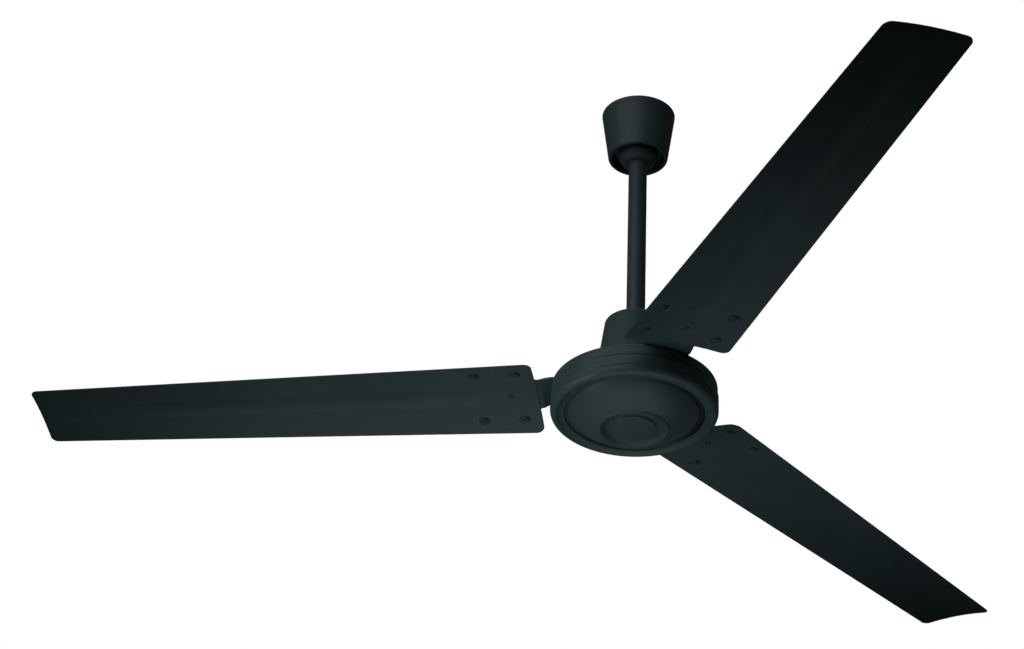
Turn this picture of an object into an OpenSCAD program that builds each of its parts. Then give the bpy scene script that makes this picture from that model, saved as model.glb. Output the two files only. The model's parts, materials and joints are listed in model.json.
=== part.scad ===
// Ceiling fan: three pressed metal blades on an outer-rotor motor, hung from a short rod.
// Origin: middle of the two ceiling screws, on the face that meets the ceiling. +Z is up.

/* [Suspension] */
// Distance between the two ceiling screws
ceiling_screw_spacing = 60; // [54:0.5:64]
// Diameter of the ceiling screw holes
ceiling_hole_d = 6.4; // [4:0.1:7]
// Thickness of the hanger bracket's sheet
bracket_t = 3; // [2:0.1:4]
// Width of the hanger bracket's ears
ear_w = 24; // [20:0.5:28]
// Depth of the roller's axis below the ceiling
roller_drop = 20.4; // [19.4:0.1:26]
// Radius of the rubber roller in its groove
roller_r = 11.2; // [10.6:0.05:12]
// Height of the roller's flanges above its groove
roller_flange = 3.8; // [3.2:0.1:4.5]
// Width of the shackle's strap
shackle_w = 20; // [16:0.5:24]
// Thickness of the shackle's strap
shackle_t = 3; // [2.4:0.1:3.6]
// Diameter of the roller bolt
roller_bolt_d = 8; // [6:0.5:9]
// Diameter of the shackle bolt
shackle_bolt_d = 6; // [5:0.5:7]
// Outside diameter of the downrod
rod_d = 22.2; // [21:0.1:22.3]
// Wall of the downrod
rod_wall = 2; // [1.2:0.1:3]
// Length of the downrod
rod_len = 310.3; // [250:1:900]

/* [Canopy and cover] */
// Radius of the cup at its wide end
cup_r_wide = 44.6; // [43.2:0.1:52]
// Radius of the cup at its narrow end
cup_r_narrow = 36; // [34:0.1:40]
// Wall of the cup
cup_wall = 1.6; // [1:0.1:2]
// Depth of the recess in the cup's narrow end
cup_recess = 13; // [8:0.5:18]
// Radius of the collar inside the recess
collar_r = 23.5; // [19:0.5:27]
// How far the collar stands out past the narrow end
collar_out = 7.5; // [4:0.5:12]
// Gap between the ceiling and the canopy
canopy_gap = 3; // [3:0.5:8]
// Gap between the cover and the motor
cover_gap = 4; // [3:0.5:8]

/* [Coupling] */
// Radius of the coupling's body
coupling_r = 17; // [15:0.1:19]
// Length of rod inside the coupling
socket_depth = 26; // [20:0.5:30]
// Diameter of the cross pin
pin_d = 8; // [6:0.5:9]
// Radius of the shaft's upper journal
shaft_r_top = 7.5; // [6:0.1:8]

/* [Motor housing] */
// Radius of the lower housing
housing_r = 96.8; // [92:0.1:110]
// Wall of the housings
wall_t = 3; // [2:0.1:3.5]
// Height of the hub above the arm land
dome_h = 18.8; // [16:0.1:22]
// Radius of the hub's foot on the arm land
dome_foot_r = 60; // [54:0.5:62]
// Radius of the hub's flat top
dome_top_r = 44; // [40:0.5:47]
// Height of the upper housing's skirt
skirt_h = 14; // [13:0.1:18]
// Height of the lower housing's straight wall
low_wall_h = 17.7; // [15:0.1:22]
// Radius of the rolled lower rim
rim_roll_r = 7; // [5:0.5:8]
// Width of the raised ring, from the outside to its inner edge
ring_w = 16; // [14:0.2:16.6]
// Radius of the boss in the middle of the dome
boss_r = 40; // [36:0.5:44]
// How far the dome bulges down from the ring's groove
dome_drop = 21.8; // [20:0.2:26]
// Radius of the bottom cap
cap_r = 26; // [22:0.5:29]

/* [Motor] */
// Height of the stator core
stack_h = 20; // [14:0.5:21]
// Radial width of the rotor ring
rotor_w = 10.5; // [8:0.5:13]
// Air gap between stator and rotor
air_gap = 0.4; // [0.3:0.05:0.8]
// Number of slots in the stator
slot_count = 16; // [8:2:18]
// Radius of the shaft inside the stator
shaft_r = 9; // [8.6:0.1:10]

/* [Arms] */
// Thickness of the arms
arm_t = 3; // [2:0.1:4]
// Width of an arm at the motor
flange_w = 56; // [56:1:72]
// Width of an arm's neck at the blade
neck_w = 52; // [46:1:64]
// Drop of the arm between motor and blade
arm_drop = 2.6; // [1:0.1:5]
// Diameter of the arm bolts
arm_bolt_d = 6; // [5:0.5:7]
// Distance between the two bolts of an arm
arm_bolt_spacing = 38; // [34:1:40]

/* [Blades] */
// Radius of the circle that the tips sweep
sweep_r = 711; // [450:1:760]
// Gap between the housing and the blade's root edge
root_gap = 15.7; // [12:0.1:24]
// Width of the blade at its root
root_chord = 129.4; // [118:0.2:150]
// Width of the blade at its tip
tip_chord = 97.6; // [80:0.2:150]
// Thickness of the blade's sheet
blade_t = 1.2; // [0.8:0.1:2]
// Radius that the blade's camber follows
camber_r = 350; // [300:5:700]
// Pitch of the blade
blade_pitch = 6; // [4:0.1:9]
// Upward slope of the blade from root to tip
blade_cone = 0.7; // [0:0.02:2]
// Corner radius at the root, leading side
root_corner_lead = 10; // [6:1:32]
// Corner radius at the root, trailing side
root_corner_trail = 9; // [6:1:32]
// Corner radius at the tip
tip_corner = 8.5; // [2:0.5:20]
// Width of the pressed bead
bead_w = 27; // [16:0.5:34]
// Height of the pressed bead
bead_h = 1.2; // [1:0.1:3]
// Distance from the root edge to the start of the bead
bead_from_root = 64.5; // [62:0.5:120]
// Distance from the end of the bead to the tip edge
bead_to_tip = 21; // [12:1:80]

/* [Blade fixing] */
// Diameter of the blade screws
screw_d = 5; // [4:0.1:5.4]
// Distance from the root edge to the first row of screws
screw_from_root = 20.5; // [20:0.5:24]
// Distance between the two rows of screws
screw_row_gap = 48; // [40:0.5:52]
// Distance between the screws of a row
screw_spacing = 85; // [78:0.5:88]
// Depth of the pressed dimples
dimple_h = 1.2; // [0.6:0.1:1.6]
// Radius of a dimple's flat floor
dimple_flat_r = 5.6; // [5.4:0.1:6.4]
// Diameter of the locating rivet
rivet_d = 4; // [3:0.1:5]
// Distance from the root edge to the rivet
rivet_from_root = 32.5; // [30:0.5:36]

/* [Hidden] */
$fn = 64;
// Running clearance, on the radius, between pieces that move on each other
run_gap = 0.05;
// Clearance between a screw or pin and its hole, on the radius
hole_gap = 0.1;
// Clearance between pieces that are set against each other
seat_gap = 0.3;
// Extra reach of a cutting shape past the face it cuts
cut = 1;

blade_step = 120;
BLADES = [for (i = [0:2]) blade_step / 2 + i * blade_step];
HOUSING_SCREWS = [for (i = [0:2]) each [i * blade_step - 18, i * blade_step + 18]];

paint = [0.15, 0.19, 0.19];
paint_light = [0.2, 0.25, 0.25];
steel = [0.62, 0.64, 0.66];
zinc = [0.72, 0.72, 0.68];
rubber_black = [0.08, 0.08, 0.08];
copper = [0.72, 0.4, 0.2];
core_grey = [0.42, 0.43, 0.45];
plastic_black = [0.1, 0.1, 0.11];
brass = [0.75, 0.6, 0.3];

// Suspension, from the ceiling down
rod_r = rod_d / 2;
roller_flange_r = roller_r + roller_flange;
strap_in_r = roller_r + run_gap;
strap_out_r = strap_in_r + shackle_t;
z_roller = -roller_drop;
z_rod_top = z_roller - roller_flange_r - 2;
shackle_edge = 6.8;
z_shackle_bolt = z_rod_top - shackle_edge;
z_leg_end = z_shackle_bolt - shackle_edge;
bracket_l = ceiling_screw_spacing + 14;
groove_w = shackle_w + 0.6;
roller_flange_t = 2.3;
ear_gap = groove_w + 2 * roller_flange_t + 0.2;
bracket_w = ear_gap + 2 * bracket_t;

// The cup covers the shackle, and its height follows from that
cup_web_t = 2;
cup_lip_r = 2.6;
leg_room = 1.5;
cup_h = -z_leg_end + leg_room - canopy_gap + cup_web_t + cup_recess;
sleeve_t = 2.1;
grub_d = 4;

// Coupling and cover
z_rod_end = z_rod_top - rod_len;
z_coup_top = z_rod_end + socket_depth;
shaft_gap = 5;
coup_len = cover_gap - shaft_gap + cup_h - cup_recess - cup_web_t - seat_gap;
z_coup_bottom = z_coup_top - coup_len;
z_motor_top = z_coup_bottom - shaft_gap;
z_cover = z_motor_top + cover_gap;
lead_room = 8;
z_shaft_top = z_rod_end - lead_room;
z_pin = z_coup_top - socket_depth / 2;
pin_reach = coupling_r + 4;
set_screw_r = 2.5;
spot_depth = 1;
z_rod_screw = z_coup_top - 5;
z_shaft_screw = z_coup_bottom + 8;

// Leads and running capacitor
LEADS = [-2.2, 0, 2.2];
lead_r = 0.9;
lead_bend = 3;
z_lead = z_shaft_top + lead_room / 2;
connector_h = 7.2;
capacitor_w = 2 * (coupling_r - 0.2);
capacitor_d = 15;
capacitor_h = 26;
z_capacitor = z_coup_bottom + 2.5;
capacitor_back = coupling_r + seat_gap + capacitor_d;
strap_t = 0.8;
strap_h = 6;
z_strap = z_lead - connector_h / 2 - 1.5 - strap_h;

// Motor, from its top down
z_land = z_motor_top - dome_h;
part_gap = 0.8;
z_part = z_land - skirt_h;
skirt_r = housing_r - 1;
z_low_top = z_part - part_gap;
z_roll = z_part - low_wall_h;
z_bottom_rim = z_roll - rim_roll_r;
ring_in_r = housing_r - ring_w;
z_ring_in = z_bottom_rim + 2.7;
z_groove = z_bottom_rim + 5.2;
dome_r = ring_in_r - 4.6;
z_dome_foot = z_groove - dome_drop;
boss_lip = 1.7;
z_boss = z_dome_foot - boss_lip;
z_recess = z_boss + 4;
z_floor = z_groove + wall_t;
dome_bulge = 3;
screw_circle_r = housing_r - 11;
screw_boss_r = 5;
housing_screw_r = 2;

// Bearings: bore radius, outer radius, width, ball count
UPPER = [shaft_r_top, shaft_r_top + 10, 11, 8];
LOWER = [6, 16, 10, 7];
ball_r = 3;
z_upper_bearing = z_motor_top - 3.5 - UPPER[2];
z_lower_bearing = z_recess + 4.5;
cage_h = 8;
hub_wall = 4;

// Stator and rotor
rotor_or = screw_circle_r - screw_boss_r - 0.5;
rotor_ir = rotor_or - rotor_w;
stator_r = rotor_ir - air_gap;
rotor_h = 21;
z_stack = z_floor + 0.5;
slot_w = 7;
slot_root_share = 0.58;
slot_in_r = stator_r * slot_root_share;
slot_out_r = stator_r - 4.6;
coil_gap = 0.3;
end_turn_h = z_land - wall_t - z_stack - stack_h - 1;
z_lead_low = z_stack + stack_h + end_turn_h / 2;

// Blades and arms
root_r = housing_r + root_gap;
crown_z = z_land - arm_drop - root_r * tan(blade_cone) - blade_t / 2;
bead_r = bead_w * bead_w / (8 * bead_h) + bead_h / 2;
bead_x0 = root_r + bead_from_root + bead_w / 2;
bead_x1 = sweep_r - bead_to_tip - bead_w / 2;
dimple_slope = 1.5;
form_low = -root_chord * root_chord / (8 * camber_r) - 3;
form_high = bead_h + dimple_h + arm_t + 3;
form_reach = 20;
scallop_r = screw_spacing * 0.35;
scallop_out = scallop_r * 0.4;
screw_x = [root_r + screw_from_root, root_r + screw_from_root + screw_row_gap];
rivet_x = root_r + rivet_from_root;
screw_head_r = 4.4;
screw_head_h = 2.4;
washer_t = 1;
nut_h = 3.2;
screw_end = 0.7;
rivet_head_h = 1.3;
arm_top = dimple_h + blade_t / 2 + arm_t;
head_seat = dimple_h - blade_t / 2;
flange_in_r = dome_foot_r + 2;
flange_out_r = skirt_r - 1;
arm_bolt_r = (flange_in_r + flange_out_r) / 2 - 1;
arm_edge = 9.5;
neck_in = 0.1;
neck_steps = 6;
neck_across = 8;

// Points along an arc, from angle a0 to a1
function arc(c, r, a0, a1, n) =
    [for (i = [0:n]) let (a = a0 + (a1 - a0) * i / n) [c[0] + r * cos(a), c[1] + r * sin(a)]];

// Points along a quarter of an ellipse
function oval(c, rx, ry, a0, a1, n) =
    [for (i = [0:n]) let (a = a0 + (a1 - a0) * i / n) [c[0] + rx * cos(a), c[1] + ry * sin(a)]];

// Points along a shallow bow from p to q that stands out to the right of the way by sag
function bow(p, q, sag, n) =
    let (d = q - p, side = [d[1], -d[0]] / norm(d))
    [for (i = [0:n]) let (t = i / n) p + d * t + side * 4 * sag * t * (1 - t)];

// Points that round the corner b between a and c
function corner(a, b, c, r, n) =
    let (u = (a - b) / norm(a - b), w = (c - b) / norm(c - b),
         half = acos(u * w) / 2,
         mid = b + (u + w) / norm(u + w) * r / sin(half),
         p = b + u * r / tan(half) - mid, q = b + w * r / tan(half) - mid,
         a0 = atan2(p[1], p[0]), turn = atan2(p[0] * q[1] - p[1] * q[0], p * q))
    [for (i = [0:n]) mid + r * [cos(a0 + turn * i / n), sin(a0 + turn * i / n)]];

// A closed outline with every corner rounded by its own radius
function rounded(pts, radii, n = 6) =
    let (m = len(pts))
    [for (i = [0:m - 1]) each corner(pts[(i + m - 1) % m], pts[i], pts[(i + 1) % m], radii[i], n)];

module ring(r_out, r_in, h, fn = 64) {
    difference() {
        cylinder(r = r_out, h = h, $fn = fn);
        translate([0, 0, -cut]) cylinder(r = r_in, h = h + 2 * cut, $fn = fn);
    }
}

// A pan head that stands up from z = 0
module pan_head(r, h) {
    edge = h * 0.6;
    rotate_extrude($fn = 48)
        polygon(concat([[0, 0], [r, 0]], oval([r - edge, h * 0.25], edge, h * 0.75, 0, 90, 5), [[0, h]]));
}

module hex(across, h) {
    cylinder(r = across / 2 / cos(30), h = h, $fn = 6);
}

// SUSPENSION

module hanger_bracket() {
    color(zinc) difference() {
        union() {
            translate([0, 0, -bracket_t]) linear_extrude(bracket_t)
                polygon(rounded([[-bracket_l / 2, -bracket_w / 2], [bracket_l / 2, -bracket_w / 2],
                    [bracket_l / 2, bracket_w / 2], [-bracket_l / 2, bracket_w / 2]], [6, 6, 6, 6]));
            for (side = [-1, 1]) {
                translate([-ear_w / 2, side * (ear_gap + bracket_t) / 2 - bracket_t / 2, z_roller])
                    cube([ear_w, bracket_t, roller_drop - bracket_t / 2]);
                translate([0, side * (ear_gap + bracket_t) / 2 + bracket_t / 2, z_roller])
                    rotate([90, 0, 0]) cylinder(d = ear_w, h = bracket_t);
            }
        }
        for (side = [-1, 1])
            translate([side * ceiling_screw_spacing / 2, 0, -bracket_t - cut])
                cylinder(d = ceiling_hole_d, h = bracket_t + 2 * cut, $fn = 32);
        translate([0, bracket_w / 2 + cut, z_roller]) rotate([90, 0, 0])
            cylinder(r = roller_bolt_d / 2 + hole_gap, h = bracket_w + 2 * cut, $fn = 32);
    }
}

module rubber_roller() {
    half = groove_w / 2;
    out = half + roller_flange_t;
    bore = roller_bolt_d / 2 + hole_gap;
    color(rubber_black) translate([0, 0, z_roller]) rotate([90, 0, 0]) rotate_extrude()
        polygon([[bore, -out], [roller_flange_r - 1, -out], [roller_flange_r, -out + 1],
            [roller_flange_r, -half - 0.3], [roller_flange_r - 0.3, -half], [roller_r, -half],
            [roller_r, half], [roller_flange_r - 0.3, half], [roller_flange_r, half + 0.3],
            [roller_flange_r, out - 1], [roller_flange_r - 1, out], [bore, out]]);
}

module roller_bolt() {
    reach = bracket_w / 2;
    color(zinc) translate([0, 0, z_roller]) rotate([90, 0, 0]) {
        translate([0, 0, -reach - 10]) cylinder(d = roller_bolt_d, h = 2 * reach + 10, $fn = 32);
        translate([0, 0, reach]) hex(roller_bolt_d + 5, 5);
    }
}

module roller_nut() {
    color(zinc) translate([0, bracket_w / 2, z_roller]) rotate([-90, 0, 0]) difference() {
        union() {
            cylinder(r = roller_bolt_d, h = 1.4, $fn = 32);
            translate([0, 0, 1.4]) hex(roller_bolt_d + 5, 6);
        }
        translate([0, 0, -cut]) cylinder(r = roller_bolt_d / 2 + hole_gap, h = 10, $fn = 32);
    }
}

module shackle() {
    leg = z_roller - z_leg_end;
    color(zinc) difference() {
        union() {
            translate([0, shackle_w / 2, z_roller]) rotate([90, 0, 0]) difference() {
                cylinder(r = strap_out_r, h = shackle_w);
                translate([0, 0, -cut]) cylinder(r = strap_in_r, h = shackle_w + 2 * cut);
                translate([-strap_out_r - cut, -strap_out_r - cut, -cut])
                    cube([2 * (strap_out_r + cut), strap_out_r + cut, shackle_w + 2 * cut]);
            }
            for (side = [-1, 1])
                translate([side * (strap_in_r + shackle_t / 2) - shackle_t / 2, -shackle_w / 2, z_leg_end])
                    cube([shackle_t, shackle_w, leg]);
        }
        translate([-strap_out_r - cut, 0, z_shackle_bolt]) rotate([0, 90, 0])
            cylinder(r = shackle_bolt_d / 2 + hole_gap, h = 2 * (strap_out_r + cut), $fn = 32);
    }
}

module shackle_bolt() {
    color(zinc) translate([0, 0, z_shackle_bolt]) rotate([0, 90, 0]) {
        translate([0, 0, -strap_out_r]) cylinder(d = shackle_bolt_d, h = 2 * strap_out_r + 6.5, $fn = 32);
        translate([0, 0, -strap_out_r - 4]) hex(shackle_bolt_d + 4, 4);
    }
}

module shackle_nut() {
    color(zinc) translate([strap_out_r, 0, z_shackle_bolt]) rotate([0, 90, 0]) difference() {
        hex(shackle_bolt_d + 4, 5);
        translate([0, 0, -cut]) cylinder(r = shackle_bolt_d / 2 + hole_gap, h = 5 + 2 * cut, $fn = 32);
    }
}

module downrod() {
    color(paint_light) difference() {
        translate([0, 0, z_rod_end]) ring(rod_r, rod_r - rod_wall, rod_len);
        translate([-rod_r - cut, 0, z_shackle_bolt]) rotate([0, 90, 0])
            cylinder(r = shackle_bolt_d / 2 + hole_gap, h = 2 * (rod_r + cut), $fn = 32);
        translate([-rod_r - cut, 0, z_pin]) rotate([0, 90, 0])
            cylinder(r = pin_d / 2 + hole_gap, h = 2 * (rod_r + cut), $fn = 32);
    }
}

// CANOPY AND COVER

// The cup with its wide end at z = 0 and its narrow end below, at z = -cup_h
module cup() {
    z_web = -cup_h + cup_recess;
    taper = (cup_r_wide - cup_r_narrow) / cup_h;
    bore = rod_r + run_gap;
    lip = [cup_r_narrow - cup_lip_r * 0.9, -cup_h + cup_lip_r];
    in_wide = cup_r_wide - cup_wall;
    in_web = in_wide - taper * (cup_h - cup_recess - cup_web_t);
    // A quarter oval closes the collar round the rod
    z_bulge = -cup_h + 5;
    tip_r = bore + 1.6;
    drop = 5 + collar_out;
    outside = concat(
        [[in_wide, 0], [cup_r_wide - 0.4, 0], [cup_r_wide, -0.4]],
        arc(lip, cup_lip_r, -5, -130, 7),
        [[cup_r_narrow - cup_lip_r - cup_wall - 0.6, z_web]],
        [[collar_r, z_web]],
        oval([tip_r, z_bulge], collar_r - tip_r, drop, 0, -90, 8),
        [[bore, z_bulge - drop], [bore, z_web + 2], [bore + sleeve_t, z_web + 2]],
        [[bore + sleeve_t, z_bulge - drop + 3.5]],
        oval([bore + sleeve_t, z_bulge], collar_r - 2 - bore - sleeve_t, drop - 3.5, -80, 0, 6),
        [[collar_r - 2, z_web + cup_web_t], [in_web, z_web + cup_web_t]]);
    z_screw = -cup_h - 1;
    difference() {
        union() {
            rotate_extrude($fn = 96) polygon(outside);
            translate([0, bore + sleeve_t / 2, z_screw]) rotate([-90, 0, 0])
                cylinder(r = grub_d / 2 + 2, h = collar_r - 4.5 - bore - sleeve_t / 2, $fn = 32);
        }
        translate([0, bore - cut, z_screw]) rotate([-90, 0, 0])
            cylinder(r = grub_d / 2 + hole_gap, h = collar_r, $fn = 32);
    }
}

// The grub screw that locks a cup on the rod
module cup_screw() {
    color(steel) translate([0, rod_r + seat_gap, -cup_h - 1]) rotate([-90, 0, 0]) difference() {
        cylinder(d = grub_d, h = 7, $fn = 32);
        translate([0, 0, 4.5]) hex(2, 3);
    }
}

module canopy() {
    color(paint) translate([0, 0, -canopy_gap]) cup();
}

module canopy_screw() {
    translate([0, 0, -canopy_gap]) cup_screw();
}

module coupling_cover() {
    color(paint) translate([0, 0, z_cover]) mirror([0, 0, 1]) cup();
}

module cover_screw() {
    translate([0, 0, z_cover]) mirror([0, 0, 1]) cup_screw();
}

// COUPLING

module coupling() {
    color(steel) difference() {
        rotate_extrude() polygon([[shaft_r_top + hole_gap, z_coup_bottom], [coupling_r - 1, z_coup_bottom],
            [coupling_r, z_coup_bottom + 1], [coupling_r, z_coup_top - 1], [coupling_r - 1, z_coup_top],
            [rod_r + hole_gap, z_coup_top], [rod_r + hole_gap, z_shaft_top],
            [shaft_r_top + hole_gap, z_shaft_top]]);
        translate([-coupling_r - cut, 0, z_pin]) rotate([0, 90, 0])
            cylinder(r = pin_d / 2 + hole_gap, h = 2 * (coupling_r + cut), $fn = 32);
        // Set screws on the rod and on the shaft
        translate([0, coupling_r + cut, z_rod_screw]) rotate([90, 0, 0])
            cylinder(r = set_screw_r + hole_gap, h = 2 * (coupling_r + cut), $fn = 32);
        translate([-coupling_r - cut, 0, z_shaft_screw]) rotate([0, 90, 0])
            cylinder(r = set_screw_r + hole_gap, h = 2 * (coupling_r + cut), $fn = 32);
        // Way out for the motor leads
        translate([0, 0, z_lead]) rotate([-90, 0, 0])
            cylinder(r = lead_room / 2 - 0.6, h = coupling_r + cut, $fn = 32);
    }
}

module coupling_pin() {
    seat = coupling_r + seat_gap;
    head_h = 3;
    color(zinc) translate([0, 0, z_pin]) rotate([0, 90, 0]) difference() {
        union() {
            translate([0, 0, -seat]) cylinder(d = pin_d, h = pin_reach + seat, $fn = 32);
            translate([0, 0, -seat - head_h]) cylinder(d = pin_d + 4, h = head_h, $fn = 32);
        }
        translate([-pin_d, 0, coupling_r + 2]) rotate([0, 90, 0]) cylinder(r = 1.1, h = 2 * pin_d, $fn = 24);
    }
}

// A split pin through the cross pin, its ring on top and its legs spread below
module pin_clip() {
    color(zinc) translate([coupling_r + 2, 0, z_pin]) {
        translate([0, 0, -pin_d / 2 - 4]) cylinder(r = 1, h = pin_d + 8, $fn = 24);
        translate([0, 0, pin_d / 2 + 6]) rotate([0, 90, 0]) rotate_extrude($fn = 48)
            translate([2.2, 0]) circle(r = 0.9, $fn = 24);
    }
}

// A grub screw along z, from its tip at tip_r to just inside the coupling's face
module grub(tip_r) {
    length = coupling_r - 0.3 - tip_r;
    translate([0, 0, tip_r]) difference() {
        cylinder(r = set_screw_r, h = length, $fn = 32);
        translate([0, 0, length - 2.5]) hex(2.5, 3);
    }
}

// Two grub screws on the rod, and two in spots on the shaft
module set_screws() {
    color(steel) for (side = [-90, 90]) {
        translate([0, 0, z_rod_screw]) rotate([side, 0, 0]) grub(rod_r + 0.1);
        translate([0, 0, z_shaft_screw]) rotate([0, side, 0]) grub(shaft_r_top - spot_depth + 0.1);
    }
}

// RUNNING GEAR

module capacitor() {
    w = capacitor_w / 2;
    rim = 2;
    well = 1.5;
    color(plastic_black) difference() {
        translate([0, -capacitor_back, z_capacitor]) linear_extrude(capacitor_h)
            polygon(rounded([[-w, 0], [w, 0], [w, capacitor_d], [-w, capacitor_d]], [2, 2, 2, 2], 4));
        // A potting well in the top
        translate([-w + rim, -capacitor_back + rim, z_capacitor + capacitor_h - well])
            cube([2 * (w - rim), capacitor_d - 2 * rim, well + cut]);
    }
}

module capacitor_strap() {
    in_x = coupling_r + 0.1;
    in_y = capacitor_back + 0.1;
    color(steel) translate([0, 0, z_strap]) difference() {
        union() {
            cylinder(r = in_x + strap_t, h = strap_h);
            translate([-in_x - strap_t, -in_y - strap_t, 0])
                cube([2 * (in_x + strap_t), in_y + strap_t, strap_h]);
        }
        translate([0, 0, -cut]) cylinder(r = in_x, h = strap_h + 2 * cut);
        translate([-in_x, -in_y, -cut]) cube([2 * in_x, in_y, strap_h + 2 * cut]);
    }
}

// One insulated lead, from the connector into the shaft and out to the winding
module lead(x) {
    b = lead_bend;
    translate([x, b, z_lead]) rotate([-90, 0, 0]) cylinder(r = lead_r, h = coupling_r + 2 - b, $fn = 24);
    translate([x, b, z_lead - b]) rotate([0, -90, 0]) rotate([0, 0, -90])
        rotate_extrude(angle = 90, $fn = 48) translate([b, 0]) circle(r = lead_r, $fn = 24);
    translate([x, 0, z_lead_low + b]) cylinder(r = lead_r, h = z_lead - z_lead_low - 2 * b, $fn = 24);
    translate([x, b, z_lead_low + b]) rotate([0, -90, 0]) rotate([0, 0, 180])
        rotate_extrude(angle = 90, $fn = 48) translate([b, 0]) circle(r = lead_r, $fn = 24);
    translate([x, b, z_lead_low]) rotate([-90, 0, 0]) cylinder(r = lead_r, h = slot_in_r - b, $fn = 24);
}

module motor_leads() {
    color("firebrick") for (x = LEADS) lead(x);
}

module lead_connector() {
    y0 = coupling_r + seat_gap;
    color("ivory") difference() {
        union() {
            translate([-5.5, y0, z_lead - 3]) cube([11, 6, 6]);
            translate([-6.2, y0 + 6, z_lead - connector_h / 2]) cube([12.4, 6, connector_h]);
            translate([-1.5, y0 + 2, z_lead + 2.5]) cube([3, 8, 2.4]);
        }
        for (x = LEADS) translate([x, y0 - cut, z_lead]) rotate([-90, 0, 0])
            cylinder(r = lead_r + hole_gap, h = 5, $fn = 24);
    }
}

// MOTOR

module motor_shaft() {
    z_low = z_lower_bearing - 2.2;
    z_shoulder = z_lower_bearing + LOWER[2];
    color(steel) difference() {
        rotate_extrude() polygon([[0, z_low], [LOWER[0] - 0.5, z_low], [LOWER[0], z_low + 0.5],
            [LOWER[0], z_lower_bearing - 1.2], [LOWER[0] - 0.6, z_lower_bearing - 1.2],
            [LOWER[0] - 0.6, z_lower_bearing - 0.1], [LOWER[0], z_lower_bearing - 0.1],
            [LOWER[0], z_shoulder], [shaft_r, z_shoulder], [shaft_r, z_upper_bearing],
            [UPPER[0], z_upper_bearing], [UPPER[0], z_shaft_top - 0.6], [UPPER[0] - 0.6, z_shaft_top],
            [0, z_shaft_top]]);
        translate([0, 0, z_lead_low]) cylinder(r = 3.6, h = z_shaft_top - z_lead_low + cut, $fn = 32);
        translate([0, 0, z_lead_low]) sphere(r = 3.6, $fn = 32);
        translate([0, 0, z_lead_low]) rotate([-90, 0, 0]) cylinder(r = 3.6, h = shaft_r + cut, $fn = 32);
        for (side = [-90, 90]) translate([0, 0, z_shaft_screw]) rotate([0, side, 0])
            translate([0, 0, shaft_r_top - spot_depth]) cylinder(r = set_screw_r + hole_gap, h = 3, $fn = 32);
    }
}

module shaft_circlip() {
    color(steel) translate([0, 0, z_lower_bearing - 1.1]) difference() {
        ring(LOWER[0] + 2, LOWER[0] - 0.5, 0.9, 48);
        translate([0, -1.5, -cut]) cube([20, 3, 4]);
    }
}

module stator_core() {
    color(core_grey) translate([0, 0, z_stack]) difference() {
        cylinder(r = stator_r, h = stack_h, $fn = 96);
        translate([0, 0, -cut]) cylinder(r = shaft_r + 0.05, h = stack_h + 2 * cut);
        for (i = [0:slot_count - 1]) rotate([0, 0, 360 * (i + 0.5) / slot_count]) {
            translate([slot_in_r, -slot_w / 2, -cut])
                cube([slot_out_r - slot_in_r, slot_w, stack_h + 2 * cut]);
            translate([slot_out_r - cut, -1.25, -cut]) cube([stator_r, 2.5, stack_h + 2 * cut]);
        }
    }
}

// The coils: a bar in every slot, joined by an end turn above and below the core
module winding() {
    r0 = slot_in_r + coil_gap;
    r1 = slot_out_r - coil_gap;
    section = rounded([[r0, 0], [r1, 0], [r1, end_turn_h], [r0, end_turn_h]], [2, 2, 3, 3], 4);
    color(copper) {
        translate([0, 0, z_stack + stack_h + 0.2]) rotate_extrude() polygon(section);
        translate([0, 0, z_stack - 0.2]) mirror([0, 0, 1]) rotate_extrude() polygon(section);
        for (i = [0:slot_count - 1]) rotate([0, 0, 360 * (i + 0.5) / slot_count])
            translate([r0 + 3, -slot_w / 2 + coil_gap, z_stack - 2])
                cube([r1 - r0 - 6, slot_w - 2 * coil_gap, stack_h + 4]);
    }
}

function pitch_r(b) = (b[0] + b[1]) / 2;

module bearing_inner(b, z) {
    color(steel) translate([0, 0, z]) rotate_extrude() difference() {
        polygon([[b[0], 0], [pitch_r(b) - 1.6, 0], [pitch_r(b) - 1.6, b[2]], [b[0], b[2]]]);
        translate([pitch_r(b), b[2] / 2]) circle(r = ball_r + run_gap);
    }
}

module bearing_outer(b, z) {
    color(steel) translate([0, 0, z]) rotate_extrude() difference() {
        polygon([[pitch_r(b) + 1.6, 0], [b[1], 0], [b[1], b[2]], [pitch_r(b) + 1.6, b[2]]]);
        translate([pitch_r(b), b[2] / 2]) circle(r = ball_r + run_gap);
    }
}

module bearing_balls(b, z) {
    color(zinc) for (i = [0:b[3] - 1]) rotate([0, 0, 360 * i / b[3]])
        translate([pitch_r(b), 0, z + b[2] / 2]) sphere(r = ball_r, $fn = 48);
}

module bearing_cage(b, z) {
    color(brass) translate([0, 0, z + b[2] / 2]) difference() {
        translate([0, 0, -cage_h / 2]) ring(pitch_r(b) + 1, pitch_r(b) - 1, cage_h);
        for (i = [0:b[3] - 1]) rotate([0, 0, 360 * i / b[3]]) translate([pitch_r(b) - 2, 0, 0])
            rotate([0, 90, 0]) cylinder(r = ball_r + run_gap, h = 4, $fn = 48);
    }
}

module rotor_ring() {
    c = 0.8;
    color(core_grey) translate([0, 0, z_floor]) rotate_extrude($fn = 96)
        polygon([[rotor_ir, c], [rotor_ir + c, 0], [rotor_or - c, 0], [rotor_or, c],
            [rotor_or, rotor_h - c], [rotor_or - c, rotor_h],
            [rotor_ir + c, rotor_h], [rotor_ir, rotor_h - c]]);
}

// HOUSINGS

// Spots on the arm land where the arms are bolted down
module at_arm_bolts() {
    for (a = BLADES) rotate([0, 0, a]) for (side = [-1, 1])
        translate([arm_bolt_r, side * arm_bolt_spacing / 2, 0]) children();
}

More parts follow.
